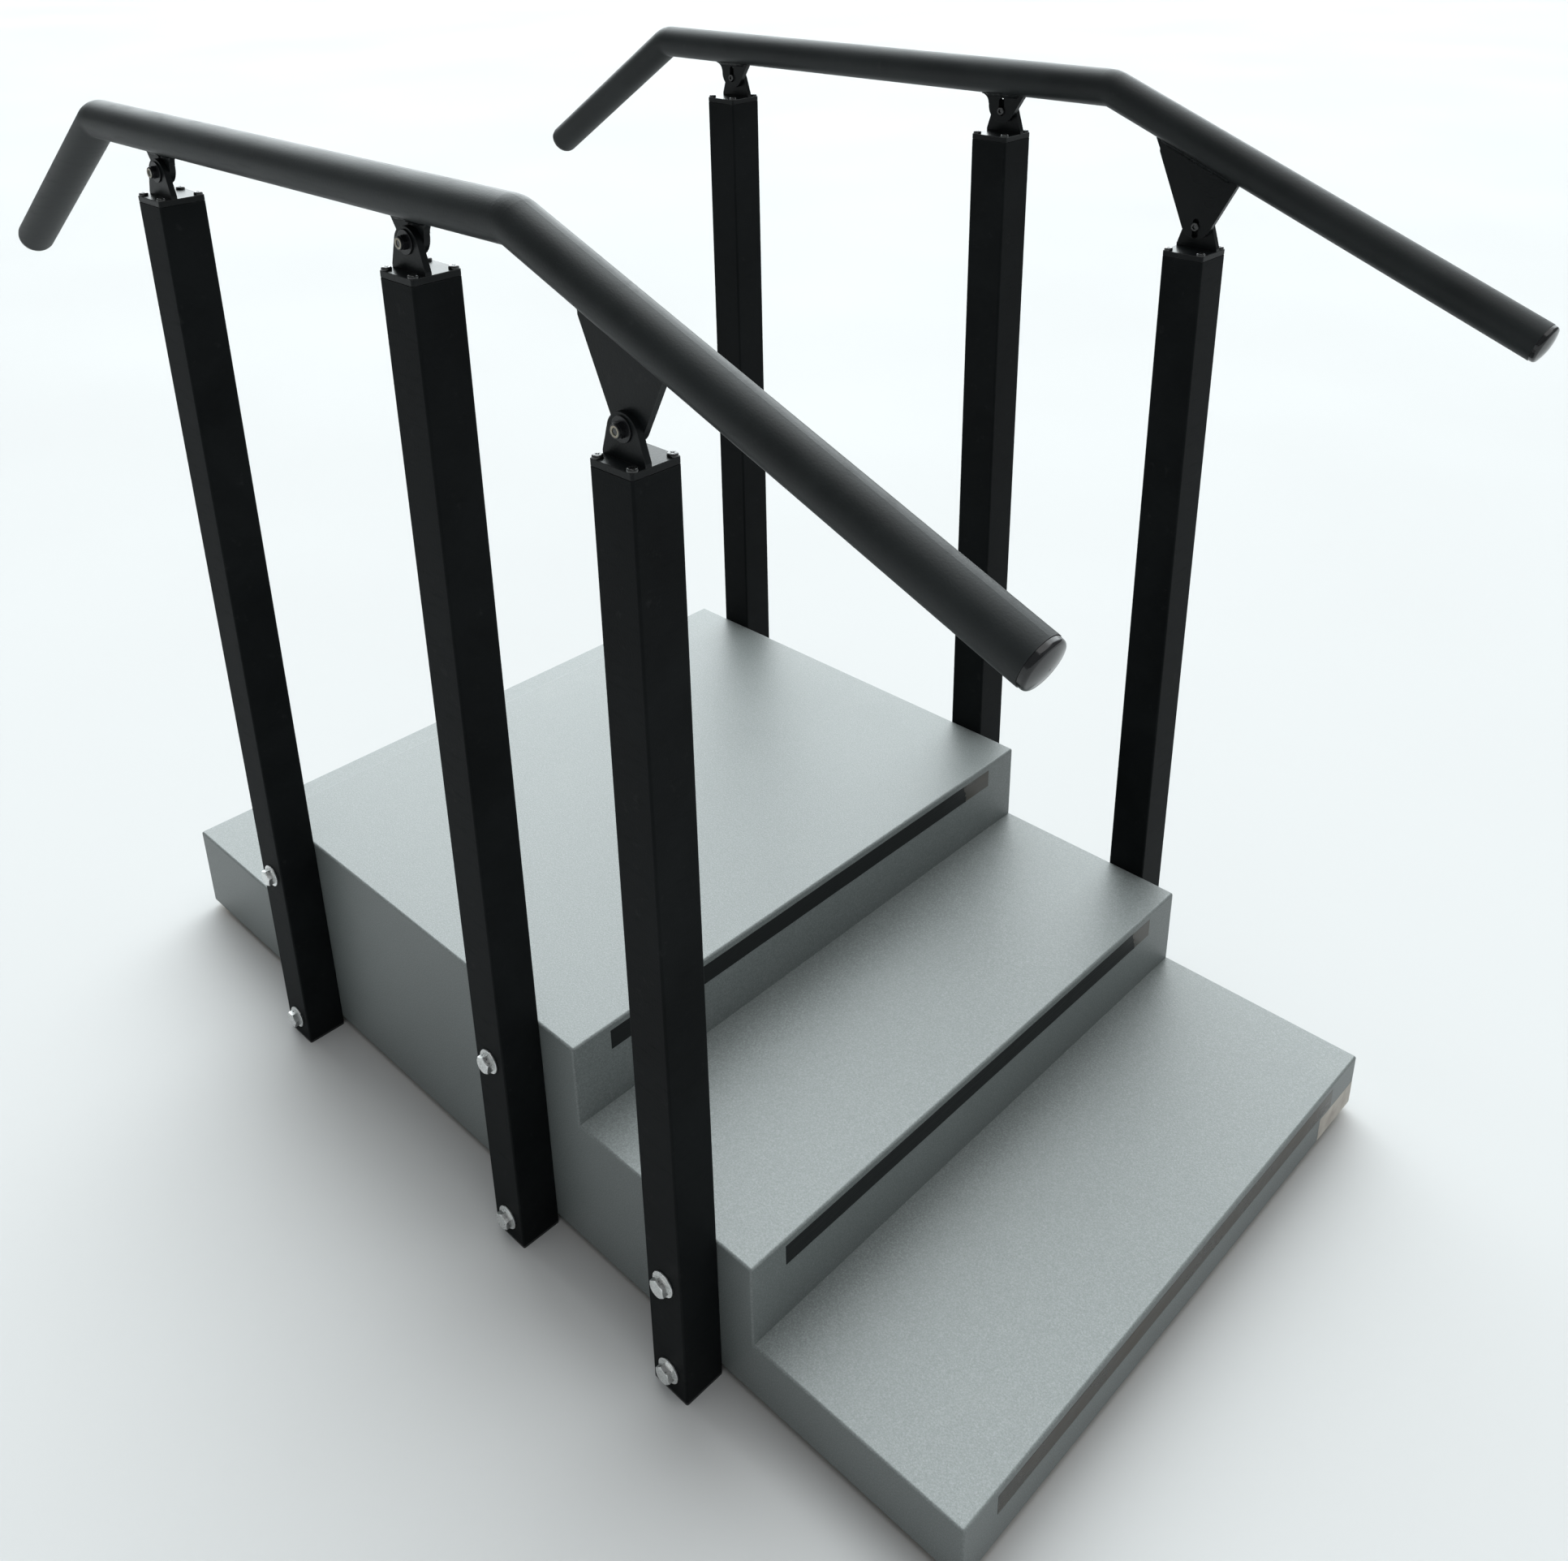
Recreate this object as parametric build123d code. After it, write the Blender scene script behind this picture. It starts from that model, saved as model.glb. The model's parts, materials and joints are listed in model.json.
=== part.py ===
from build123d import *
import math
import os

# Stepped mounting block with two handrails.
# Millimetres. +X points to the end with two steps, +Z is up, and the left side is -Y.
# The origin is on the floor, at the centre of the object's bounding box.
# Lengths along X are first counted from the block's rear edge, and place() moves them to the origin.

# ---- The block ----
block_width = 787.0
tread_depth = 264.0
platform_depth = 628.0
floor_gap = 12.7
rear_tread_height = 134.5
platform_height = 296.5
upper_tread_height = 189.5
lower_tread_height = 84.5
edge_radius = 3.0
coat = 2.5
panel = 15.0
bulkhead_spacing = 198.0
batten_size = 40.0
foot_diameter = 36.0
foot_inset_y = 60.0
foot_edge = 1.5
foot_screw_shank = 4.8
foot_screw_length = 22.0
foot_screw_head = 10.0
foot_screw_head_height = 3.0
foot_recess = 5.0

# ---- Posts: square extrusions with a screw boss in each corner ----
post = 50.8
post_wall = 3.2
post_corner = 2.5
screw_spread = 20.5
boss_radius = 4.6
boss_bore = 4.9
post_places = {"rear": 341.0, "middle": 809.5, "front": 1083.0}
post_tops = {"rear": 1135.0, "middle": 1135.0, "front": 1034.0}
glide = 3.0
seam = 0.5

# ---- Brackets between post and handrail ----
plate = 6.35
clamp_height = 26.0
post_tab_radius = 18.5
post_tab_centre = 21.0
post_tab_foot = 3.0
rail_tab_radius = 19.0
rail_tab_centre = 31.5
rail_tab_waist = 19.5
rail_tab_flare = 31.0
rail_tab_toe = 30.0
tube_overlap = 12.0
slot_width = 8.0
short_slot = (24.0, 38.0)
gusset_slot = (16.2, 31.6)
gusset_rear = 53.0
gusset_front = 45.0
face_gap = 0.05
tab_face = 5.0

# ---- Handrails: tube on a path of three straight runs ----
tube_diameter = 42.2
tube_wall = 3.2
bend_radius = 26.0
rail_height = 1201.0
rail_rear_end = (-58.6, 1030.3)
rail_rear_bend = 203.0
rail_front_bend = 960.0
rail_front_end = (1463.0, 1002.0)
plug_depth = 14.0
plug_dome = 9.0
plug_crown = 62.0
plug_edge = 3.2

# ---- Fasteners ----
hex_flats = 19.05
hex_head = 8.0
hex_shank = 12.7
hex_hole = 13.5
washer_diameter = 29.0
washer = 2.4
nut = 11.0
bolt_drop = 33.5
low_bolt_height = 31.0
cap_screw_diameter = 9.5
cap_screw_head = 3.0
cap_screw_dome = 1.8
cap_screw_shank = 4.8
cap_screw_length = 18.0
cross_length = 5.2
cross_width = 1.1
cross_depth = 1.5
clamp_shank = 6.35
clamp_hole = 6.8
clamp_head_diameter = 9.4
clamp_head = 2.6
clamp_socket = 2.4
clamp_socket_depth = 1.8
clamp_end_recess = 0.7
clamp_washer_diameter = 22.2
clamp_washer = 1.6
lock_nut_flats = 12.7
lock_nut = 6.2
ring_height = 1.9
nut_collar = 6.0
nut_lip = 1.1
thread_gap = 0.05

# ---- Tape and label ----
tape_width = 25.4
tape = 0.5
tape_drop = 9.0
label_length = 83.0
label_height = 33.0
label = 0.3

half_width = block_width / 2
platform_start = tread_depth
platform_end = platform_start + platform_depth
upper_end = platform_end + tread_depth
block_length = upper_end + tread_depth
post_y = half_width + post / 2
rail_y = post_y + tab_face
tube_radius = tube_diameter / 2
side_signs = {"left": -1, "right": 1}


def box_between(low, high):
    """A box given by its lowest and highest corners."""
    size = [h - l for l, h in zip(low, high)]
    middle = [(l + h) / 2 for l, h in zip(low, high)]
    return Pos(*middle) * Box(*size)


def cylinder_along_y(radius, x, z, y_from, y_to):
    """A cylinder whose axis runs along Y."""
    middle = (y_from + y_to) / 2
    return Pos(x, middle, z) * Rot(90, 0, 0) * Cylinder(radius, abs(y_to - y_from))


def extrude_y(sketch, y_from, y_to):
    """Extrudes an outline drawn in X and Z from one Y to another."""
    flat = Plane((0, y_from, 0), x_dir=(1, 0, 0), z_dir=(0, -1, 0)) * sketch
    return extrude(flat, amount=y_to - y_from, dir=(0, 1, 0))


def mirrored(shape, sign):
    """The left side is modelled, and the right side is its mirror image."""
    return shape if sign < 0 else mirror(shape, about=Plane.XZ)


def group(solids):
    """Several separate solids kept in one node."""
    flat = []
    for shape in solids:
        flat.extend(shape.solids())
    return Compound(children=flat)


# ---- The block's body ----


def stepped_block(inset, radius, bottom):
    """The staircase shape, moved in by inset, with its outer edges rounded."""
    steps = [
        (0.0, block_length, lower_tread_height),
        (0.0, upper_end, rear_tread_height),
        (platform_start, upper_end, upper_tread_height),
        (platform_start, platform_end, platform_height),
    ]
    shape = None
    for start, end, height in steps:
        low = (start + inset, -half_width + inset, bottom)
        high = (end - inset, half_width - inset, height - inset)
        block = box_between(low, high)
        upright = block.edges().filter_by(Axis.Z)
        top = block.edges().group_by(Axis.Z)[-1]
        block = fillet(upright + top, radius)
        shape = block if shape is None else shape + block
    return shape


def post_bolt_places():
    """X and Z of the two bolts that hold each post."""
    places = []
    for name, x in post_places.items():
        tread = upper_tread_height if name == "front" else platform_height
        places.append((x, low_bolt_height))
        places.append((x, tread - bolt_drop))
    return places


def bolt_holes(sign, y_from, y_to):
    """Clearance holes for the post bolts of one side."""
    holes = [
        cylinder_along_y(hex_hole / 2, x, z, sign * y_from, sign * y_to)
        for x, z in post_bolt_places()
    ]
    return group(holes)


def make_coating():
    """The sprayed textured coat, one continuous skin over the panels, open below."""
    outer = stepped_block(0.0, edge_radius, floor_gap)
    inner = stepped_block(coat, edge_radius - coat, floor_gap - 1.0)
    skin = outer - inner
    for sign in side_signs.values():
        skin = skin - bolt_holes(sign, half_width - 2 * coat, half_width + coat)
    return skin


def make_panels():
    """The panels under the coat, each trimmed by the rounded core."""
    core = stepped_block(coat, edge_radius - coat, floor_gap)
    side_in = half_width - coat - panel
    under = coat + panel
    deck_low = platform_height - under
    upper_low = upper_tread_height - under
    lower_low = lower_tread_height - under
    rear_low = rear_tread_height - under
    pieces = {
        "platform_deck": (platform_start, platform_end, deck_low, platform_height),
        "upper_tread": (platform_end - under, upper_end, upper_low, upper_tread_height - coat),
        "lower_tread": (upper_end - under, block_length, lower_low, lower_tread_height - coat),
        "rear_tread": (0.0, platform_start + under, rear_low, rear_tread_height - coat),
        "platform_front_riser": (
            platform_end - under,
            platform_end - coat,
            upper_tread_height - coat,
            deck_low,
        ),
        "upper_step_riser": (upper_end - under, upper_end - coat, lower_tread_height - coat, upper_low),
        "lower_step_riser": (block_length - under, block_length - coat, floor_gap, lower_low),
        "platform_rear_riser": (
            platform_start + coat,
            platform_start + under,
            rear_tread_height - coat,
            deck_low,
        ),
        "rear_step_riser": (coat, under, floor_gap, rear_low),
    }
    panels = {}
    for name, (x_low, x_high, z_low, z_high) in pieces.items():
        block = box_between((x_low, -side_in, z_low), (x_high, side_in, z_high))
        panels[name] = core & block
    for side, sign in side_signs.items():
        edges = sorted((sign * side_in, sign * half_width))
        slab = box_between((0, edges[0], floor_gap), (block_length, edges[1], platform_height))
        panels[side + "_side_panel"] = (core & slab) - bolt_holes(sign, side_in - 1, half_width + 1)
    middle = (platform_start + platform_end) / 2
    for name, x in (("rear", middle - bulkhead_spacing / 2), ("front", middle + bulkhead_spacing / 2)):
        low = (x - panel / 2, -side_in, floor_gap)
        high = (x + panel / 2, side_in, deck_low)
        panels[name + "_bulkhead"] = box_between(low, high)
    return panels


def batten_middles():
    """X of the two cross battens that carry the rubber feet."""
    inside = coat + panel + batten_size / 2
    return (inside, block_length - inside)


def make_base():
    """Cross battens, and the rubber feet screwed to them."""
    side_in = half_width - coat - panel
    battens = []
    feet = []
    screws = []
    for x in batten_middles():
        low = (x - batten_size / 2, -side_in, floor_gap)
        high = (x + batten_size / 2, side_in, floor_gap + batten_size)
        batten = box_between(low, high)
        for sign in side_signs.values():
            y = sign * (half_width - foot_inset_y)
            foot = Pos(x, y, floor_gap / 2) * Cylinder(foot_diameter / 2, floor_gap)
            foot = chamfer(foot.edges().group_by(Axis.Z)[0], foot_edge)
            foot -= Pos(x, y, foot_recess / 2) * Cylinder(foot_screw_head / 2 + 1.0, foot_recess)
            foot -= Pos(x, y, floor_gap / 2) * Cylinder(foot_screw_shank / 2 + 0.3, floor_gap)
            feet.append(foot)
            head_middle = foot_recess - foot_screw_head_height / 2
            head = Pos(x, y, head_middle) * Cylinder(foot_screw_head / 2, foot_screw_head_height)
            shank_middle = foot_recess + foot_screw_length / 2
            shank = Pos(x, y, shank_middle) * Cylinder(foot_screw_shank / 2, foot_screw_length)
            pilot_end = foot_recess + foot_screw_length + 1.0
            pilot_middle = (floor_gap + pilot_end) / 2
            batten -= Pos(x, y, pilot_middle) * Cylinder(foot_screw_shank / 2 + 0.1, pilot_end - floor_gap)
            screws.append(head + shank)
        battens.append(batten)
    return {
        "foot_battens": group(battens),
        "rubber_feet": group(feet),
        "foot_screws": group(screws),
    }


def make_tapes():
    """Tape along the top of each riser of the two-step end, and a blank label."""
    strips = {
        "platform_riser_tape": (platform_end, platform_height, 52.0, 55.0),
        "upper_riser_tape": (upper_end, upper_tread_height, 49.0, 57.0),
        "lower_riser_tape": (block_length, lower_tread_height, 52.0, 62.0),
    }
    tapes = {}
    for name, (x, height, from_left, from_right) in strips.items():
        top = height - tape_drop
        low = (x, -half_width + from_left, top - tape_width)
        high = (x + tape, half_width - from_right, top)
        tapes[name] = box_between(low, high)
    label_end = half_width - edge_radius - 2.0
    low = (block_length, label_end - label_length, floor_gap + 0.5)
    high = (block_length + label, label_end, floor_gap + 0.5 + label_height)
    tapes["blank_label"] = box_between(low, high)
    return tapes


# ---- Posts and their caps ----


def corner_places():
    """The four screw places on a post, from its centre."""
    return [(a * screw_spread, b * screw_spread) for a in (-1, 1) for b in (-1, 1)]


def post_section():
    """Square ring with a round screw boss in each corner."""
    inner = post - 2 * post_wall
    section = RectangleRounded(post, post, post_corner) - RectangleRounded(inner, inner, 1.0)
    for x, y in corner_places():
        section += Pos(x, y) * Circle(boss_radius) & RectangleRounded(post, post, post_corner)
    for x, y in corner_places():
        section -= Pos(x, y) * Circle(boss_bore / 2)
    return section


def make_post(name):
    """One left post, standing on its glide, bored for its two bolts."""
    x = post_places[name]
    height = post_tops[name] - plate - glide
    shape = Pos(x, -post_y, glide) * extrude(post_section(), height)
    rim = shape.faces().sort_by(Axis.Z)[-1].outer_wire().edges()
    shape = chamfer(rim, seam)
    for bolt_x, bolt_z in post_bolt_places():
        if bolt_x == x:
            outside = -post_y - post
            shape -= cylinder_along_y(hex_hole / 2, x, bolt_z, outside, outside + 2 * post)
    return shape


def make_glide(name):
    """The plastic plug under a left post: a flat plate and a cross that grips the tube."""
    inner = post - 2 * post_wall - 0.2
    arm = 2 * (screw_spread - boss_radius) - 1.0
    cross = Rectangle(inner, arm) + Rectangle(arm, inner)
    foot = extrude(RectangleRounded(post, post, post_corner), glide)
    foot += Pos(0, 0, glide) * extrude(cross, 12.0)
    return Pos(post_places[name], -post_y, 0) * foot


def post_tab_profile():
    """The upright tab on a post cap: a low straight foot that narrows to a round top."""
    foot = post / 2 - 0.2
    edges = ShapeList([
        Edge.make_circle(post_tab_radius, Plane(origin=(0, post_tab_centre, 0))),
        Edge.make_line((-foot, 0, 0), (foot, 0, 0)),
        Edge.make_line((-foot, post_tab_foot, 0), (foot, post_tab_foot, 0)),
    ])
    outline = make_hull(edges)
    return outline - Pos(0, clamp_height) * Circle(clamp_hole / 2)


def make_post_cap(name):
    """Cap plate with the tab welded on its outer half."""
    cap = extrude(RectangleRounded(post, post, post_corner), plate)
    rims = cap.edges().group_by(Axis.Z)
    cap = chamfer(rims[0] + rims[-1], seam)
    for x, y in corner_places():
        cap -= Pos(x, y, plate / 2) * Cylinder(boss_bore / 2 + 0.1, plate)
    tab = extrude_y(post_tab_profile(), -tab_face - plate, -tab_face)
    cap += Pos(0, 0, plate) * tab
    return Pos(post_places[name], -post_y, post_tops[name] - plate) * cap


def make_cap_screw(x, y, top):
    """Pan head screw with a cross recess."""
    head = Pos(x, y, top + cap_screw_head / 2) * Cylinder(cap_screw_diameter / 2, cap_screw_head)
    head = fillet(head.edges().group_by(Axis.Z)[-1], cap_screw_dome)
    for turn in (0, 90):
        arm = Box(cross_length, cross_width, cross_depth)
        head -= Pos(x, y, top + cap_screw_head - cross_depth / 2) * Rot(0, 0, turn) * arm
    shank = Pos(x, y, top - cap_screw_length / 2) * Cylinder(cap_screw_shank / 2, cap_screw_length)
    return head + shank


# ---- Handrails ----


def rail_path():
    """The tube's centre line, in the plane of its posts."""
    points = [
        (rail_rear_end[0], -rail_y, rail_rear_end[1]),
        (rail_rear_bend, -rail_y, rail_height),
        (rail_front_bend, -rail_y, rail_height),
        (rail_front_end[0], -rail_y, rail_front_end[1]),
    ]
    return FilletPolyline(*points, radius=bend_radius)


def make_tube():
    """The bent tube of the left handrail, open at both ends."""
    path = rail_path()
    start = Plane(origin=path @ 0, z_dir=path % 0)
    ring = Circle(tube_radius) - Circle(tube_radius - tube_wall)
    return sweep(start * ring, path=path)


def rail_run(name):
    """A point on the tube's centre line above a post, and the line's rise per length."""
    x = post_places[name]
    if name != "front":
        return (x, rail_height, 0.0)
    fall = (rail_front_end[1] - rail_height) / (rail_front_end[0] - rail_front_bend)
    return (x, rail_height + (x - rail_front_bend) * fall, fall)


def short_tab_profile(tube_low):
    """Short tab: round below, one side sloping straight out to the tube and the other flared at its top."""
    top = tube_low + tube_overlap
    edges = ShapeList([
        Edge.make_circle(rail_tab_radius, Plane(origin=(0, rail_tab_centre, 0))),
        Edge.make_line((-rail_tab_waist, top, 0), (rail_tab_flare, top, 0)),
        Edge.make_line((rail_tab_flare, tube_low, 0), (rail_tab_flare, top, 0)),
    ])
    waist_low = tube_low - 11.0
    curve = ThreePointArc(
        (-rail_tab_waist, waist_low),
        (-rail_tab_waist - 2.6, tube_low - 4.0),
        (-rail_tab_toe, tube_low),
    )
    rest = Polyline(
        (-rail_tab_toe, tube_low),
        (-rail_tab_toe, top),
        (0, top),
        (0, waist_low),
        (-rail_tab_waist, waist_low),
    )
    return make_hull(edges) + make_face(curve.edges() + rest.edges())


def gusset_profile(tube_low, fall):
    """Long three-cornered tab that hangs below the sloping run."""
    rear, front = -gusset_rear, gusset_front
    edges = ShapeList([
        Edge.make_circle(rail_tab_radius, Plane(origin=(0, rail_tab_centre, 0))),
        Edge.make_line((rear, tube_low + rear * fall - 12.0, 0), (rear, tube_low + rear * fall + 10.0, 0)),
        Edge.make_line((front, tube_low + front * fall - 1.5, 0), (front, tube_low + front * fall + 10.0, 0)),
    ])
    toe = Polyline(
        (rear + 1.0, tube_low + rear * fall - 11.0),
        (rear - 5.5, tube_low + (rear - 5.5) * fall),
        (rear - 5.5, tube_low + (rear - 5.5) * fall + 8.0),
        (rear + 10.0, tube_low + rear * fall + 4.0),
        close=True,
    )
    return make_hull(edges) + make_face(toe.edges())


def make_slot(low, high):
    """A vertical slot from one end centre to the other."""
    middle = (low + high) / 2
    return Pos(0, middle) * Rot(0, 0, 90) * SlotCenterToCenter(high - low, slot_width)


def make_rail_tab(name, sign):
    """The slotted tab welded under a tube; the short ones are one part, turned round for the left side."""
    x, centre_z, fall = rail_run(name)
    top = post_tops[name]
    tilt = math.atan(fall)
    tube_low = centre_z - tube_radius / math.cos(tilt) - top
    if name == "front":
        outline = gusset_profile(tube_low, fall) - make_slot(*gusset_slot)
    else:
        outline = short_tab_profile(tube_low)
        outline = outline if sign > 0 else mirror(outline, about=Plane.YZ)
        outline = outline - make_slot(*short_slot)
    outer = -tab_face + face_gap
    tab = Pos(x, -post_y, top) * extrude_y(outline, outer, outer + plate)
    bar = Pos(x, -rail_y, centre_z) * Rot(0, 90 - math.degrees(tilt), 0) * Cylinder(tube_radius, 400.0)
    return (tab - bar).solids().sort_by(Axis.Z)[0]


def make_plug(at, towards):
    """Domed end plug: a barrel inside the tube, and a glossy cap just smaller than it."""
    barrel = Pos(0, 0, -plug_depth / 2) * Cylinder(tube_radius - tube_wall - 0.15, plug_depth)
    cap = Pos(0, 0, plug_dome / 2) * Cylinder(tube_radius - 0.7, plug_dome)
    cap &= Pos(0, 0, plug_dome - plug_crown) * Sphere(plug_crown)
    rim = cap.edges().filter_by(lambda edge: edge.is_closed).sort_by(Axis.Z)[-1]
    cap = fillet(rim, plug_edge)
    return Plane(origin=at, z_dir=towards) * (barrel + cap)


# ---- Fasteners ----


def make_hex(flats, height, round_top):
    """A hexagonal head or nut standing on the XY plane, its corners chamfered."""
    blank = extrude(RegularPolygon(flats / 2, 6, major_radius=False), height)
    corner = flats / math.sqrt(3)
    trim = Cylinder(corner + 0.1, height)
    trim = Pos(0, 0, height / 2) * chamfer(trim.edges().group_by(Axis.Z)[-1], 1.1, 2.0)
    return blank & trim if round_top else blank


def outward(shape, x, y, z, turn):
    """Stands a fastener on the left side, its axis pointing away from the block."""
    return Pos(x, y, z) * Rot(90, 0, 0) * Rot(0, 0, turn) * shape


def make_washer(diameter, hole, thickness):
    """A flat washer with soft outer edges, centred on the origin."""
    disc = Cylinder(diameter / 2, thickness)
    disc = fillet(disc.edges().filter_by(lambda edge: edge.is_closed), thickness * 0.3)
    return disc - Cylinder(hole / 2, thickness)


def make_post_fasteners():
    """Bolts, washers and nuts that hold the posts to the side panels."""
    bolts, washers, nuts = [], [], []
    outside = -half_width - post
    inside = -half_width + coat + panel
    length = inside - outside + 2 * washer + nut + 3.0
    ring = make_washer(washer_diameter, hex_hole, washer)
    turns = (6.0, 19.0, 27.0, 22.0, 44.0, 37.0)
    for turn, (x, z) in zip(turns, post_bolt_places()):
        seat = outside - washer
        bolt = outward(make_hex(hex_flats, hex_head, True), x, seat, z, turn)
        bolt += cylinder_along_y(hex_shank / 2, x, z, seat, seat + length)
        bolts.append(bolt)
        washers.append(outward(ring, x, outside - washer / 2, z, 0))
        washers.append(outward(ring, x, inside + washer / 2, z, 0))
        body = make_hex(hex_flats, nut, False)
        body -= Pos(0, 0, nut / 2) * Cylinder(hex_shank / 2 + thread_gap, nut)
        nuts.append(outward(body, x, inside + washer + nut, z, turn))
    return {"post_bolts": bolts, "post_bolt_washers": washers, "post_bolt_nuts": nuts}


def make_clamp_fasteners():
    """The socket bolt, washer and lock nut that clamp each pair of tabs."""
    bolts, washers, nuts, rings = [], [], [], []
    for name, x in post_places.items():
        z = post_tops[name] + clamp_height
        seat = -post_y - tab_face - plate
        head_low = -post_y - tab_face + 2 * face_gap + plate
        nut_low = seat - clamp_washer
        head = Cylinder(clamp_head_diameter / 2, clamp_head)
        head = chamfer(head.edges().group_by(Axis.Z)[0], 0.6)
        socket = extrude(RegularPolygon(clamp_socket, 6, major_radius=False), clamp_socket_depth)
        head = head - Pos(0, 0, -clamp_head / 2) * socket
        bolt = outward(head, x, head_low + clamp_head / 2, z, 10)
        bolt += cylinder_along_y(clamp_shank / 2, x, z, head_low, nut_low - lock_nut + clamp_end_recess)
        bolts.append(bolt)
        ring = make_washer(clamp_washer_diameter, clamp_hole, clamp_washer)
        washers.append(outward(ring, x, seat - clamp_washer / 2, z, 0))
        hexagon = make_hex(lock_nut_flats, lock_nut - ring_height, False)
        collar = Pos(0, 0, lock_nut - ring_height / 2 - 0.4) * Cylinder(nut_collar, ring_height + 0.8)
        collar = fillet(collar.edges().group_by(Axis.Z)[-1], 0.6)
        body = hexagon + collar
        bore = Pos(0, 0, lock_nut / 2) * Cylinder(clamp_shank / 2 + thread_gap, lock_nut)
        body -= bore
        recess = Pos(0, 0, lock_nut - ring_height / 2) * Cylinder(nut_collar - nut_lip, ring_height)
        body -= recess
        nylon = recess - bore
        nuts.append(outward(body, x, nut_low, z, 15))
        rings.append(outward(nylon, x, nut_low, z, 15))
    return {"clamp_bolts": bolts, "clamp_washers": washers, "clamp_nuts": nuts, "clamp_nut_rings": rings}


# ---- Assembly ----


def both_sides(groups):
    """Left fasteners and their mirror images, one node for each kind."""
    nodes = {}
    for name, shapes in groups.items():
        doubled = [mirrored(s, sign) for sign in side_signs.values() for s in shapes]
        nodes[name] = group(doubled)
    return nodes


def make_handrail(sign):
    """The tube, tabs and plugs of one handrail, drawn on the left side."""
    path = rail_path()
    return {
        "handrail_tube": make_tube(),
        "rear_rail_tab": make_rail_tab("rear", sign),
        "middle_rail_tab": make_rail_tab("middle", sign),
        "front_rail_gusset": make_rail_tab("front", sign),
        "rail_rear_plug": make_plug(path @ 0, -(path % 0)),
        "rail_front_plug": make_plug(path @ 1, path % 1),
    }


def make_nodes():
    """Every node of the object, still counted from the block's rear edge."""
    nodes = {"step_coating": make_coating()}
    nodes.update(make_panels())
    nodes.update(make_base())
    nodes.update(make_tapes())
    for side, sign in side_signs.items():
        for name in post_places:
            nodes[f"{side}_{name}_post"] = mirrored(make_post(name), sign)
            nodes[f"{side}_{name}_post_cap"] = mirrored(make_post_cap(name), sign)
        for name, shape in make_handrail(sign).items():
            nodes[f"{side}_{name}"] = mirrored(shape, sign)
    screws = [
        make_cap_screw(post_places[name] + x, -post_y + y, post_tops[name])
        for name in post_places
        for x, y in corner_places()
    ]
    glides = [make_glide(name) for name in post_places]
    nodes.update(both_sides({"cap_screws": screws, "post_glides": glides}))
    nodes.update(both_sides(make_post_fasteners()))
    nodes.update(both_sides(make_clamp_fasteners()))
    return nodes


def place(nodes):
    """Moves everything so that the origin is below the middle of the bounding box."""
    rear = nodes["left_rail_rear_plug"].bounding_box().min.X
    front = nodes["left_rail_front_plug"].bounding_box().max.X
    middle = (rear + front) / 2
    print("rear edge of the block to the origin:", round(middle, 3))
    return {name: Pos(-middle, 0, 0) * shape for name, shape in nodes.items()}


os.makedirs("parts", exist_ok=True)
for node_name, node_shape in place(make_nodes()).items():
    solids = node_shape.solids()
    whole = solids[0] if len(solids) == 1 else Compound(children=list(solids))
    whole.label = node_name
    export_step(whole, f"parts/{node_name}.step")
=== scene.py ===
"""Blender scene of the stepped mounting block with two handrails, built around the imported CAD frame."""
import json
import math

import bmesh
import bpy
from mathutils import Euler, Matrix, Vector, noise
from mathutils.bvhtree import BVHTree


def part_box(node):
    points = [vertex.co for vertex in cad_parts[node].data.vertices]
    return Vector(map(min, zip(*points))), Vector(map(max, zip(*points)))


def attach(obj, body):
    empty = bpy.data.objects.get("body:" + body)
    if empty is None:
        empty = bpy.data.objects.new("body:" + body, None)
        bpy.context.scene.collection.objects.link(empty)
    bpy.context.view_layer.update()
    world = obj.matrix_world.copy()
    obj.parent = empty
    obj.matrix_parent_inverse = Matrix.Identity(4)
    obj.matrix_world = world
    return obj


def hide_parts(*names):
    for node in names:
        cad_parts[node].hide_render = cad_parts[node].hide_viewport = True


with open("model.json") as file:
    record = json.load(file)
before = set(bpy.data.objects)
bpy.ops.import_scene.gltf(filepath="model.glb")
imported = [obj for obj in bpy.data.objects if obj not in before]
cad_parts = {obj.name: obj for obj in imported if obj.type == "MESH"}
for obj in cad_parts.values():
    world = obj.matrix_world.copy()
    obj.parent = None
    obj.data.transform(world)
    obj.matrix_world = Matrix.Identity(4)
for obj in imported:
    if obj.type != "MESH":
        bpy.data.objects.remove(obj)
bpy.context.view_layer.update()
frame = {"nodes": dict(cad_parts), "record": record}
record = frame["record"]
nodes = frame["nodes"]

MM = 0.001
UP = Vector((0, 0, 1))
SIDES = {"left": -1, "right": 1}


# ---- Camera: the photograph's viewpoint ----


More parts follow.
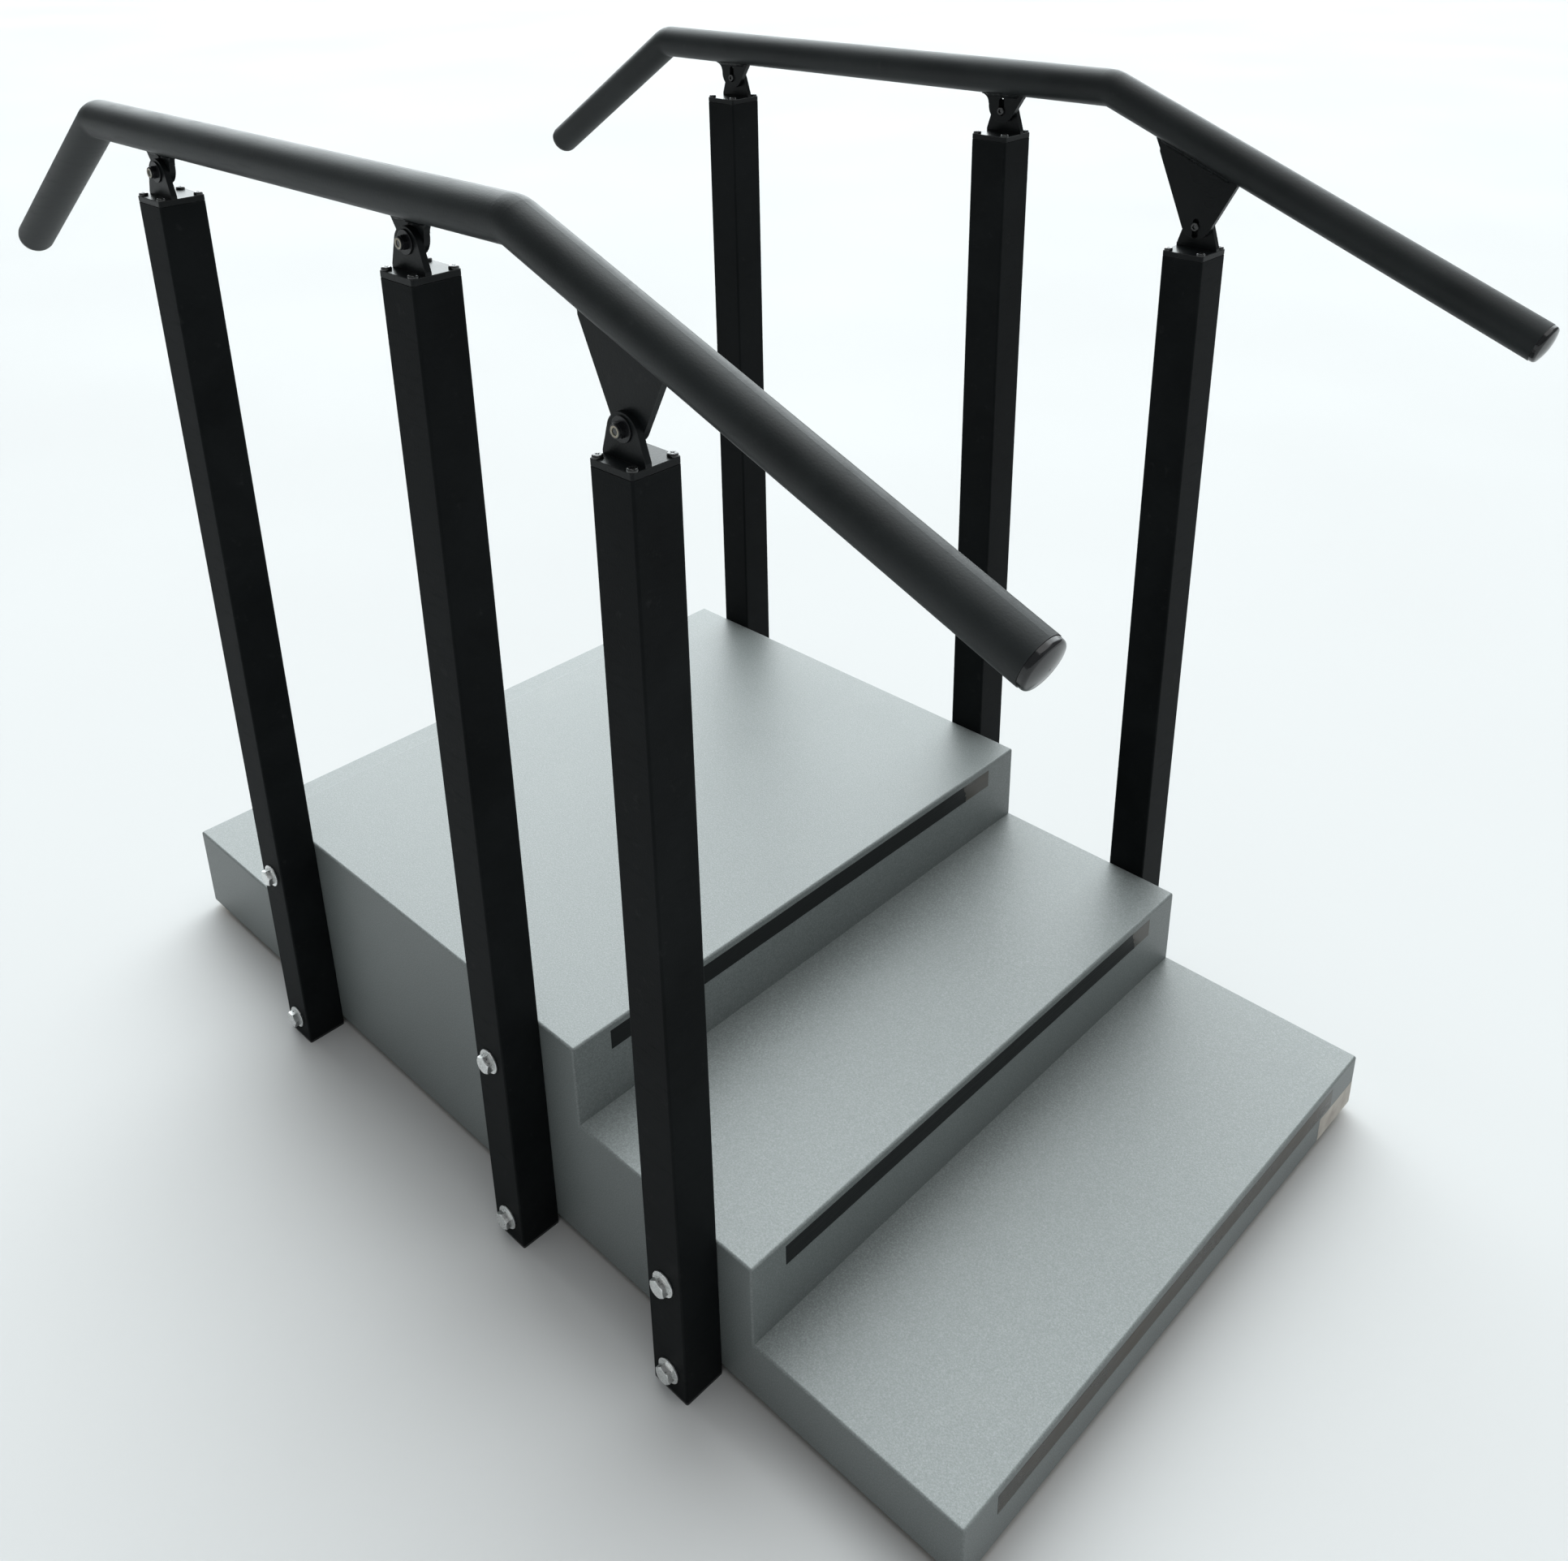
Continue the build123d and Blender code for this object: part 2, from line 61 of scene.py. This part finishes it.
def make_camera():
    """A camera at the photograph's place and angle; the shift repeats the photograph's framing."""
    from_rear, aside, height = 1.9160, -1.1129, 1.4676
    azimuth, elevation, roll = (math.radians(a) for a in (44.86, 23.51, -1.21))
    sensor, lens = 36.0, 34.58
    shift_across, shift_up = 0.011, -0.181
    block_low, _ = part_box("step_coating")
    place = Vector((block_low.x + from_rear, aside, height))
    back = Vector((
        math.sin(azimuth) * math.cos(elevation),
        -math.cos(azimuth) * math.cos(elevation),
        math.sin(elevation),
    ))
    right = UP.cross(back).normalized()
    up = back.cross(right)
    turned_right = math.cos(roll) * right + math.sin(roll) * up
    turned_up = -math.sin(roll) * right + math.cos(roll) * up
    data = bpy.data.cameras.new("camera")
    data.sensor_width = sensor
    data.lens = lens
    data.shift_x = shift_across
    data.shift_y = shift_up
    data.clip_start = 0.05
    data.clip_end = 200.0
    camera = bpy.data.objects.new("camera", data)
    bpy.context.scene.collection.objects.link(camera)
    rotation = Matrix((turned_right, turned_up, back)).transposed()
    camera.matrix_world = Matrix.Translation(place) @ rotation.to_4x4()
    bpy.context.scene.camera = camera


# ---- Shader building ----


class Shader:
    """A small helper that adds and links the nodes of one material. Texture scales are per metre."""

    def __init__(self, name):
        self.material = bpy.data.materials.new(name)
        self.material.use_nodes = True
        self.tree = self.material.node_tree
        self.bsdf = self.tree.nodes["Principled BSDF"]
        self.place = self.tree.nodes.new("ShaderNodeTexCoord").outputs["Object"]

    def set(self, **values):
        """Sets constants of the Principled shader; an underscore stands for a space."""
        for name, value in values.items():
            self.bsdf.inputs[name.replace("_", " ")].default_value = value

    def put(self, socket, value):
        """Links an output to a socket, or sets a constant there."""
        if isinstance(value, bpy.types.NodeSocket):
            self.tree.links.new(value, socket)
        else:
            socket.default_value = value

    def stretch(self, x, y, z):
        """Object coordinates scaled along each axis."""
        node = self.tree.nodes.new("ShaderNodeVectorMath")
        node.operation = "MULTIPLY"
        self.put(node.inputs[0], self.place)
        node.inputs[1].default_value = (x, y, z)
        return node.outputs[0]

    def noise(self, scale, detail, rough, at=None, bend=0.0):
        """Cloudy noise, mostly 0.3 to 0.7."""
        node = self.tree.nodes.new("ShaderNodeTexNoise")
        self.put(node.inputs["Vector"], at or self.place)
        node.inputs["Scale"].default_value = scale
        node.inputs["Detail"].default_value = detail
        node.inputs["Roughness"].default_value = rough
        node.inputs["Distortion"].default_value = bend
        return node.outputs["Fac"]

    def cells(self, scale):
        """Distance to the middle of the nearest cell."""
        node = self.tree.nodes.new("ShaderNodeTexVoronoi")
        node.feature = "F1"
        self.put(node.inputs["Vector"], self.place)
        node.inputs["Scale"].default_value = scale
        return node.outputs["Distance"]

    def fit(self, value, low, high, to_low=0.0, to_high=1.0):
        """Maps a range onto another, clamped."""
        node = self.tree.nodes.new("ShaderNodeMapRange")
        self.put(node.inputs["Value"], value)
        node.inputs["From Min"].default_value = low
        node.inputs["From Max"].default_value = high
        node.inputs["To Min"].default_value = to_low
        node.inputs["To Max"].default_value = to_high
        return node.outputs["Result"]

    def math(self, operation, first, second):
        """A sum or a product of two values."""
        node = self.tree.nodes.new("ShaderNodeMath")
        node.operation = operation
        self.put(node.inputs[0], first)
        self.put(node.inputs[1], second)
        return node.outputs[0]

    def mix(self, factor, first, second):
        """Blends two colours."""
        node = self.tree.nodes.new("ShaderNodeMix")
        node.data_type = "RGBA"
        self.put(node.inputs["Factor"], factor)
        self.put(node.inputs["A"], first)
        self.put(node.inputs["B"], second)
        return node.outputs["Result"]

    def bump(self, height, depth, strength, under=None):
        """Bump of a height map, over another bump if asked; depth is in metres."""
        node = self.tree.nodes.new("ShaderNodeBump")
        node.inputs["Strength"].default_value = strength
        node.inputs["Distance"].default_value = depth
        self.put(node.inputs["Height"], height)
        if under:
            self.put(node.inputs["Normal"], under)
        return node.outputs["Normal"]

    def edges(self, radius):
        """1 near an edge of the shape and 0 on a flat, from how far a bevel would turn the surface."""
        bevel = self.tree.nodes.new("ShaderNodeBevel")
        bevel.samples = 4
        bevel.inputs["Radius"].default_value = radius
        geometry = self.tree.nodes.new("ShaderNodeNewGeometry")
        dot = self.tree.nodes.new("ShaderNodeVectorMath")
        dot.operation = "DOT_PRODUCT"
        self.put(dot.inputs[0], bevel.outputs["Normal"])
        self.put(dot.inputs[1], geometry.outputs["Normal"])
        return self.fit(dot.outputs["Value"], 0.995, 0.90)

    def finish(self, colour, roughness, normal=None):
        """Connects the main inputs and returns the material."""
        self.put(self.bsdf.inputs["Base Color"], colour)
        self.put(self.bsdf.inputs["Roughness"], roughness)
        if normal:
            self.put(self.bsdf.inputs["Normal"], normal)
        return self.material


def rgb(red, green, blue):
    """An opaque colour."""
    return (red, green, blue, 1.0)


# ---- Materials ----


def textured_coating():
    """Sprayed grip coat: fine even grain, faint clouds, a few dusty patches."""
    look = Shader("textured_coating")
    grain = look.noise(620.0, 2.0, 0.6)
    fine = look.noise(1300.0, 1.0, 0.5)
    clouds = look.noise(2.6, 3.0, 0.55, bend=0.6)
    dust = look.noise(9.0, 4.0, 0.6)
    base, clouded = rgb(0.138, 0.154, 0.152), rgb(0.158, 0.175, 0.173)
    light_grain, dark_grain = rgb(0.260, 0.282, 0.275), rgb(0.088, 0.102, 0.101)
    colour = look.mix(look.fit(clouds, 0.35, 0.65), base, clouded)
    colour = look.mix(look.fit(grain, 0.50, 0.72, 0.0, 0.60), colour, light_grain)
    colour = look.mix(look.fit(grain, 0.48, 0.30, 0.0, 0.60), colour, dark_grain)
    colour = look.mix(look.fit(dust, 0.60, 0.80, 0.0, 0.10), colour, rgb(0.26, 0.27, 0.25))
    rough = look.fit(clouds, 0.3, 0.7, 0.40, 0.46)
    rough = look.math("ADD", rough, look.fit(grain, 0.3, 0.7, -0.03, 0.06))
    normal = look.bump(grain, 0.0007, 0.30)
    normal = look.bump(fine, 0.0003, 0.25, under=normal)
    look.set(Specular_IOR_Level=0.60)
    return look.finish(colour, rough, normal)


def plywood():
    """Raw birch plywood: long soft grain and pores."""
    look = Shader("plywood")
    long_grain = look.noise(1.0, 6.0, 0.62, at=look.stretch(3.0, 60.0, 60.0), bend=1.2)
    pores = look.noise(1.0, 2.0, 0.5, at=look.stretch(40.0, 900.0, 900.0))
    colour = look.mix(look.fit(long_grain, 0.3, 0.7), rgb(0.46, 0.30, 0.15), rgb(0.66, 0.48, 0.28))
    colour = look.mix(look.fit(pores, 0.62, 0.75, 0.0, 0.5), colour, rgb(0.28, 0.17, 0.08))
    normal = look.bump(look.math("ADD", long_grain, pores), 0.0004, 0.3)
    return look.finish(colour, look.fit(long_grain, 0.3, 0.7, 0.55, 0.75), normal)


def batten_wood():
    """Planed softwood: strong growth lines along Y."""
    look = Shader("batten_wood")
    lines = look.noise(1.0, 5.0, 0.6, at=look.stretch(160.0, 4.0, 160.0), bend=0.8)
    colour = look.mix(look.fit(lines, 0.35, 0.65), rgb(0.60, 0.42, 0.22), rgb(0.42, 0.26, 0.12))
    normal = look.bump(lines, 0.0004, 0.3)
    return look.finish(colour, look.fit(lines, 0.3, 0.7, 0.5, 0.7), normal)


def powder_coat(name, tint, rough_low, rough_high, peel, level):
    """Black powder coat: orange peel, faint clouds in the gloss, dust, thin marks, and edges painted
    lighter, partly as wear and partly as a painted edge highlight.
    """
    look = Shader(name)
    peel_height = look.noise(520.0, 2.0, 0.5)
    clouds = look.noise(7.0, 4.0, 0.6, bend=0.4)
    dust = look.noise(60.0, 5.0, 0.65)
    marks = look.noise(1.0, 3.0, 0.6, at=look.stretch(30.0, 30.0, 260.0))
    lighter = tuple(c * 1.5 + 0.002 for c in tint)
    colour = look.mix(look.fit(clouds, 0.35, 0.65), rgb(*tint), rgb(*lighter))
    colour = look.mix(look.fit(dust, 0.62, 0.80, 0.0, 0.10), colour, rgb(0.10, 0.10, 0.095))
    # Painted edge highlight, partly wear: every edge is mixed towards a lighter grey, patchy with the
    # dust noise.
    edge_wear_and_highlight = look.math("MULTIPLY", look.edges(1.2 * MM), look.fit(dust, 0.35, 0.65, 0.05, 0.45))
    colour = look.mix(edge_wear_and_highlight, colour, rgb(0.05, 0.05, 0.05))
    rough = look.fit(clouds, 0.3, 0.7, rough_low, rough_high)
    rough = look.math("ADD", rough, look.fit(marks, 0.55, 0.75, 0.0, 0.06))
    normal = look.bump(peel_height, 0.0005, peel)
    look.set(Specular_IOR_Level=level)
    return look.finish(colour, rough, normal)


def gloss_cap():
    """Moulded glossy black plastic with faint flow marks and dust."""
    look = Shader("gloss_cap")
    flow = look.noise(35.0, 3.0, 0.5)
    dust = look.noise(420.0, 4.0, 0.7)
    speck = look.fit(dust, 0.62, 0.8, 0.0, 0.25)
    colour = look.mix(speck, rgb(0.006, 0.006, 0.007), rgb(0.09, 0.09, 0.085))
    rough = look.fit(flow, 0.3, 0.7, 0.10, 0.18)
    rough = look.math("ADD", rough, look.fit(dust, 0.6, 0.8, 0.0, 0.2))
    return look.finish(colour, rough, look.bump(flow, 0.0004, 0.15))


def moulded_black(name, rough_low, rough_high):
    """Matte moulded plastic or rubber with a fine spark texture."""
    look = Shader(name)
    spark = look.noise(1500.0, 2.0, 0.6)
    scuffs = look.noise(90.0, 5.0, 0.7)
    scuffed = look.fit(scuffs, 0.58, 0.75, 0.0, 0.5)
    colour = look.mix(scuffed, rgb(0.012, 0.012, 0.013), rgb(0.05, 0.048, 0.045))
    rough = look.fit(scuffs, 0.3, 0.7, rough_low, rough_high)
    return look.finish(colour, rough, look.bump(spark, 0.0003, 0.3))


def zinc():
    """Bright zinc plating: small crystals, turned marks, dull patches."""
    look = Shader("zinc")
    crystals = look.cells(900.0)
    dull = look.noise(260.0, 4.0, 0.65)
    turned = look.noise(1.0, 2.0, 0.5, at=look.stretch(2600.0, 300.0, 2600.0))
    colour = look.mix(look.fit(crystals, 0.1, 0.6), rgb(0.60, 0.61, 0.61), rgb(0.76, 0.77, 0.76))
    colour = look.mix(look.fit(dull, 0.55, 0.78, 0.0, 0.6), colour, rgb(0.38, 0.37, 0.34))
    rough = look.fit(dull, 0.35, 0.7, 0.20, 0.42)
    rough = look.math("ADD", rough, look.fit(crystals, 0.0, 0.6, 0.0, 0.06))
    normal = look.bump(look.math("ADD", turned, dull), 0.0003, 0.25)
    look.set(Metallic=1.0)
    return look.finish(colour, rough, normal)


def black_tape():
    """Black vinyl tape: satin, with fine stretch lines along it and small bubbles."""
    look = Shader("black_tape")
    lines = look.noise(1.0, 4.0, 0.6, at=look.stretch(60.0, 12.0, 700.0))
    bubbles = look.cells(120.0)
    colour = look.mix(look.fit(lines, 0.35, 0.7), rgb(0.005, 0.006, 0.0065), rgb(0.009, 0.0105, 0.011))
    normal = look.bump(lines, 0.0005, 0.3)
    normal = look.bump(look.fit(bubbles, 0.0, 0.10), 0.0003, 0.25, under=normal)
    look.set(Specular_IOR_Level=0.18)
    return look.finish(colour, look.fit(lines, 0.3, 0.7, 0.36, 0.52), normal)


def clear_tape():
    """Brownish adhesive film that shows trapped dirt, drawn opaque."""
    look = Shader("clear_tape")
    dirt = look.noise(30.0, 6.0, 0.7, at=look.stretch(1.0, 0.35, 1.0))
    fine = look.noise(600.0, 3.0, 0.6)
    colour = look.mix(look.fit(dirt, 0.35, 0.65), rgb(0.024, 0.023, 0.018), rgb(0.058, 0.047, 0.033))
    colour = look.mix(look.fit(fine, 0.6, 0.8, 0.0, 0.5), colour, rgb(0.04, 0.032, 0.024))
    normal = look.bump(dirt, 0.0006, 0.35)
    look.set(Specular_IOR_Level=0.3)
    return look.finish(colour, look.fit(dirt, 0.3, 0.7, 0.22, 0.40), normal)


def label_paper():
    """Aged blank paper: fibres, faint stains."""
    look = Shader("label_paper")
    stains = look.noise(40.0, 4.0, 0.6)
    fibres = look.noise(1200.0, 3.0, 0.7)
    colour = look.mix(look.fit(stains, 0.35, 0.7), rgb(0.56, 0.52, 0.46), rgb(0.40, 0.36, 0.32))
    colour = look.mix(look.fit(fibres, 0.55, 0.75, 0.0, 0.3), colour, rgb(0.20, 0.175, 0.155))
    normal = look.bump(fibres, 0.0002, 0.3)
    return look.finish(colour, look.fit(stains, 0.3, 0.7, 0.5, 0.7), normal)


def nylon():
    """Off-white nylon insert."""
    look = Shader("nylon")
    stains = look.noise(300.0, 3.0, 0.6)
    colour = look.mix(look.fit(stains, 0.3, 0.7), rgb(0.36, 0.33, 0.25), rgb(0.24, 0.21, 0.16))
    normal = look.bump(stains, 0.0003, 0.2)
    look.set(Subsurface_Weight=0.1, Subsurface_Scale=1.0 * MM)
    return look.finish(colour, look.fit(stains, 0.3, 0.7, 0.3, 0.45), normal)


def make_materials():
    """One material for each slot of the record."""
    soft_black = (0.0045, 0.0054, 0.0058)
    rail_black = (0.0110, 0.0128, 0.0132)
    screw_black = (0.010, 0.010, 0.010)
    nut_black = (0.005, 0.005, 0.006)
    return {
        "textured_coating": textured_coating(),
        "plywood": plywood(),
        "batten_wood": batten_wood(),
        "foot_rubber": moulded_black("foot_rubber", 0.55, 0.75),
        "glide_plastic": moulded_black("glide_plastic", 0.40, 0.60),
        "post_paint": powder_coat("post_paint", soft_black, 0.52, 0.60, peel=0.30, level=0.05),
        "bracket_paint": powder_coat("bracket_paint", soft_black, 0.26, 0.34, peel=0.22, level=0.12),
        "rail_paint": powder_coat("rail_paint", rail_black, 0.42, 0.50, peel=0.25, level=0.20),
        "gloss_cap": gloss_cap(),
        "black_screws": powder_coat("black_screws", screw_black, 0.16, 0.26, peel=0.1, level=0.6),
        "black_nuts": powder_coat("black_nuts", nut_black, 0.26, 0.36, peel=0.1, level=0.3),
        "nylon": nylon(),
        "zinc": zinc(),
        "black_tape": black_tape(),
        "clear_tape": clear_tape(),
        "label_paper": label_paper(),
    }


def dress_nodes(materials):
    """Gives every CAD node its slot's material."""
    for part in record["subparts"]:
        node = nodes[part["node"]]
        node.data.materials.clear()
        node.data.materials.append(materials[part["material_slot"]])


# ---- Mesh pieces ----


def wave(x, y, z):
    """Smooth noise at a point, about -1 to 1: the same value each run."""
    return noise.noise(Vector((x, y, z)))


def add_piece(name, points, faces, materials, slot, body, smooth):
    """Makes a mesh object that wears a slot's material and rides on a body."""
    mesh = bpy.data.meshes.new(name)
    mesh.from_pydata(points, [], faces)
    mesh.materials.append(materials[slot])
    shaped = bmesh.new()
    shaped.from_mesh(mesh)
    bmesh.ops.recalc_face_normals(shaped, faces=shaped.faces)
    shaped.to_mesh(mesh)
    shaped.free()
    mesh.polygons.foreach_set("use_smooth", [smooth] * len(mesh.polygons))
    piece = bpy.data.objects.new(name, mesh)
    bpy.context.scene.collection.objects.link(piece)
    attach(piece, body)
    return piece


def loft(rings):
    """Points and faces that join equal closed rings, with both ends capped."""
    count = len(rings[0])
    faces = []
    for ring in range(len(rings) - 1):
        for k in range(count):
            here, beside = ring * count + k, ring * count + (k + 1) % count
            faces.append((here, beside, beside + count, here + count))
    faces.append(tuple(range(count)))
    last = (len(rings) - 1) * count
    faces.append(tuple(last + k for k in reversed(range(count))))
    return [p for ring in rings for p in ring], faces


def closed_sheet(front, back, columns, rows):
    """Points and faces of a thin closed sheet; front and back hold the points of a grid, row by row."""
    width = columns + 1
    total = len(front)
    faces = []
    for j in range(rows):
        for i in range(columns):
            a = j * width + i
            faces.append((a, a + 1, a + 1 + width, a + width))
            faces.append((total + a, total + a + width, total + a + 1 + width, total + a + 1))
    rim = list(range(width))
    rim += [j * width + columns for j in range(1, rows + 1)]
    rim += [rows * width + i for i in reversed(range(columns))]
    rim += [j * width for j in reversed(range(1, rows))]
    for a, b in zip(rim, rim[1:] + rim[:1]):
        faces.append((a, total + a, total + b, b))
    return front + back, faces


def weld_rings(corners, wall, seats, leg, seed):
    """Sections of a fillet weld: rippled along its length, wobbly, tapered at both ends.

    The bead lies in a corner between two faces: wall and seats are the directions away from the corner
    along the tab's face and along the tube.
    """
    ripple = 2.1 * MM
    start_length = 3.0 * MM
    root = 0.4 * MM
    steps = 8
    total = sum((b - a).length for a, b in zip(corners, corners[1:]))
    along = 0.0
    rings = []
    for index, (corner, seat) in enumerate(zip(corners, seats)):
        if index:
            along += (corner - corners[index - 1]).length
        phase = (along / ripple + 0.35 * wave(along * 90, seed, 0)) % 1.0
        ridge = 1.0 + 0.10 * (1.0 - phase) ** 2
        wobble = 1.0 + 0.20 * wave(along * 160.0, seed, 3.0)
        from_end = min(along, total - along, start_length) / start_length
        taper = 0.25 + 0.75 * math.sqrt(1.0 - (1.0 - from_end) ** 2)
        size = leg * ridge * wobble * taper
        lean = 1.0 + 0.18 * wave(along * 120.0, seed, 9.0)
        ring = [corner - (wall + seat) * root]
        for k in range(steps + 1):
            angle = math.pi / 2 * k / steps
            bulge = 1.0 - 0.17 * math.sin(2 * angle)
            outward = wall * math.cos(angle) * lean + seat * math.sin(angle) / lean
            ring.append(corner + outward * size * bulge)
        rings.append(ring)
    return rings


def rail_welds(materials):
    """Welds on both faces of every tab, where it meets the underside of its tube."""
    leg = 3.4 * MM
    step = 0.45 * MM
    set_back = 7.0 * MM
    gap = 0.02 * MM
    ray_start = 50.0 * MM
    tabs = ("rear_rail_tab", "middle_rail_tab", "front_rail_gusset")
    for side, sign in SIDES.items():
        tube = nodes[f"{side}_handrail_tube"].data
        surface = BVHTree.FromPolygons([v.co for v in tube.vertices], [p.vertices for p in tube.polygons])
        for index, tab in enumerate(tabs):
            low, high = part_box(f"{side}_{tab}")
            for face, direction in (("near", -1), ("far", 1)):
                wall_y = (low.y if direction < 0 else high.y) + direction * gap
                corners, normals = [], []
                count = int((high.x - low.x - 2 * set_back) / step)
                for k in range(count + 1):
                    below = Vector((low.x + set_back + k * step, wall_y, low.z - ray_start))
                    hit, normal, _, _ = surface.ray_cast(below, UP)
                    corners.append(hit)
                    normals.append(normal)
                run = (corners[-1] - corners[0]).normalized()
                wall = Vector((run.z, 0, -run.x)) * (1 if run.x > 0 else -1)
                seats = [run.cross(n) * (1 if run.cross(n).y * direction > 0 else -1) for n in normals]
                seed = index + 10 * direction + 40 * sign
                points, faces = loft(weld_rings(corners, wall, seats, leg, seed))
                name, body = f"{side}_{tab}_{face}_weld", f"{side}_handrail"
                add_piece(name, points, faces, materials, "bracket_paint", body, smooth=True)


def strip(name, node, span, thickness, materials, slot, seed, torn=0.0, lift=0.0, replaced=True):
    """A length of tape on a riser: slightly wavy, with a torn and lifted end if asked.

    span holds the start and the end as fractions of the node's length.
    """
    step = 3.0 * MM
    rows = 10
    end_zone = 18.0 * MM
    start, end = span
    low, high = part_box(node)
    length = high.y - low.y
    columns = max(8, int(length * (end - start) / step))
    front, back = [], []
    for j in range(rows + 1):
        v = j / rows
        tear = torn * (wave(v * 6.5, seed, 1.0) + 0.6 * wave(v * 21.0, seed, 2.0))
        tear += torn * 1.1 * (0.5 - v)
        for i in range(columns + 1):
            u = start + (end - start) * i / columns
            near_end = max(0.0, 1.0 - (end - u) * length / end_zone)
            y = low.y + length * u + tear * near_end
            border = 0.22 * MM * wave(y * 22.0, seed, v * 0.1)
            z = low.z + (high.z - low.z) * v + border
            swell = 0.10 * MM * wave(y * 60.0, z * 90.0, seed)
            curl = lift * near_end ** 3 * (1.0 - v)
            x = low.x + thickness + max(0.0, swell) + curl
            front.append(Vector((x, y, z)))
            back.append(Vector((low.x, y, z)))
    points, faces = closed_sheet(front, back, columns, rows)
    piece = add_piece(name, points, faces, materials, slot, "block", smooth=False)
    if replaced:
        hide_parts(node)


def make_tapes(materials):
    """Black tapes, torn down to the adhesive film at the far end, and the lowest riser's bare film."""
    black_thick, film_thick, bare_thick = 0.30 * MM, 0.10 * MM, 0.16 * MM
    under_black = 0.03
    tear, lift = 5.0 * MM, 0.3 * MM
    torn_at = {"platform_riser_tape": 0.922, "upper_riser_tape": 0.945}
    for seed, (node, torn) in enumerate(torn_at.items()):
        black, film = (0.0, torn), (torn - under_black, 1.0)
        strip(f"{node}_black", node, black, black_thick, materials, "black_tape", seed + 1.0, tear, lift)
        strip(f"{node}_film", node, film, film_thick, materials, "clear_tape", seed + 5.0, replaced=False)
    strip("lower_riser_film", "lower_riser_tape", (0.0, 1.0), bare_thick, materials, "clear_tape", 9.0)


def make_label(materials):
    """A blank paper label whose far edge wraps onto the block's rounded corner."""
    corner = 3.0 * MM
    wrapped = 3.5 * MM
    paper = 0.18 * MM
    columns, rows = 60, 16
    low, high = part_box("blank_label")
    _, block_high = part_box("step_coating")
    straight_end = block_high.y - corner
    length = straight_end - low.y + wrapped
    front, back = [], []
    for j in range(rows + 1):
        for i in range(columns + 1):
            reach = low.y + length * i / columns
            z = low.z + (high.z - low.z) * j / rows + 0.25 * MM * wave(reach * 70.0, j, 4.0)
            crease = 0.12 * MM * max(0.0, wave(reach * 140.0, z * 160.0, 8.0))
            for thickness, points in ((paper + crease, front), (0.0, back)):
                if reach <= straight_end:
                    points.append(Vector((low.x + thickness, reach, z)))
                else:
                    angle = (reach - straight_end) / corner
                    radius = corner + thickness
                    x = low.x - corner + radius * math.cos(angle)
                    points.append(Vector((x, straight_end + radius * math.sin(angle), z)))
    points, faces = closed_sheet(front, back, columns, rows)
    piece = add_piece("paper_label", points, faces, materials, "label_paper", "block", smooth=False)
    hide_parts("blank_label")


# ---- Stage ----


def make_floor():
    """A pale floor that runs past the camera's view."""
    half = 60.0
    corners = [(-half, -half, 0), (half, -half, 0), (half, half, 0), (-half, half, 0)]
    mesh = bpy.data.meshes.new("floor")
    mesh.from_pydata(corners, [], [(0, 1, 2, 3)])
    floor = bpy.data.objects.new("floor", mesh)
    bpy.context.scene.collection.objects.link(floor)
    look = Shader("pale_floor")
    clouds = look.noise(0.8, 3.0, 0.5)
    colour = look.mix(clouds, rgb(0.47, 0.475, 0.475), rgb(0.50, 0.50, 0.50))
    mesh.materials.append(look.finish(colour, look.fit(clouds, 0.3, 0.7, 0.75, 0.9)))


def broad_glow(tree, toward, direction, inner, outer, power):
    """A smooth bright patch of the surround: full strength within inner degrees, none beyond outer."""
    dot = tree.nodes.new("ShaderNodeVectorMath")
    dot.operation = "DOT_PRODUCT"
    tree.links.new(toward, dot.inputs[0])
    dot.inputs[1].default_value = Vector(direction).normalized()
    spread = tree.nodes.new("ShaderNodeMapRange")
    spread.interpolation_type = "SMOOTHSTEP"
    tree.links.new(dot.outputs["Value"], spread.inputs["Value"])
    spread.inputs["From Min"].default_value = math.cos(math.radians(outer))
    spread.inputs["From Max"].default_value = math.cos(math.radians(inner))
    spread.inputs["To Min"].default_value = 0.0
    spread.inputs["To Max"].default_value = power
    return spread.outputs["Result"]


def make_light():
    """A dim surround, broadly bright behind the block and a little before the steps, and a soft sun."""
    dim = 0.30
    behind = ((-0.57, 0.60, 0.60), 20.0, 52.0, 5.0)
    before = ((0.90, 0.30, 0.60), 10.0, 40.0, 0.2)
    world = bpy.data.worlds.new("studio")
    bpy.context.scene.world = world
    world.use_nodes = True
    tree = world.node_tree
    toward = tree.nodes.new("ShaderNodeTexCoord").outputs["Generated"]
    level = None
    for direction, inner, outer, power in (behind, before):
        glow = broad_glow(tree, toward, direction, inner, outer, power)
        total = tree.nodes.new("ShaderNodeMath")
        total.operation = "ADD"
        total.inputs[0].default_value = dim
        if level:
            tree.links.new(level, total.inputs[0])
        tree.links.new(glow, total.inputs[1])
        level = total.outputs[0]
    background = tree.nodes["Background"]
    background.inputs["Color"].default_value = rgb(0.92, 0.985, 1.0)
    tree.links.new(level, background.inputs["Strength"])
    sun = bpy.data.lights.new("overhead", "SUN")
    sun.energy = 1.1
    sun.angle = math.radians(60.0)
    lamp = bpy.data.objects.new("overhead", sun)
    lamp.rotation_euler = Euler((math.radians(-4.0), math.radians(6.0), 0.0))
    bpy.context.scene.collection.objects.link(lamp)


def set_colour():
    """Plain display transform."""
    view = bpy.context.scene.view_settings
    view.view_transform = "Standard"
    view.look = "None"
    view.exposure = 0.0
    view.gamma = 1.0


make_camera()
finishes = make_materials()
dress_nodes(finishes)
rail_welds(finishes)
make_tapes(finishes)
make_label(finishes)
make_floor()
make_light()
set_colour()
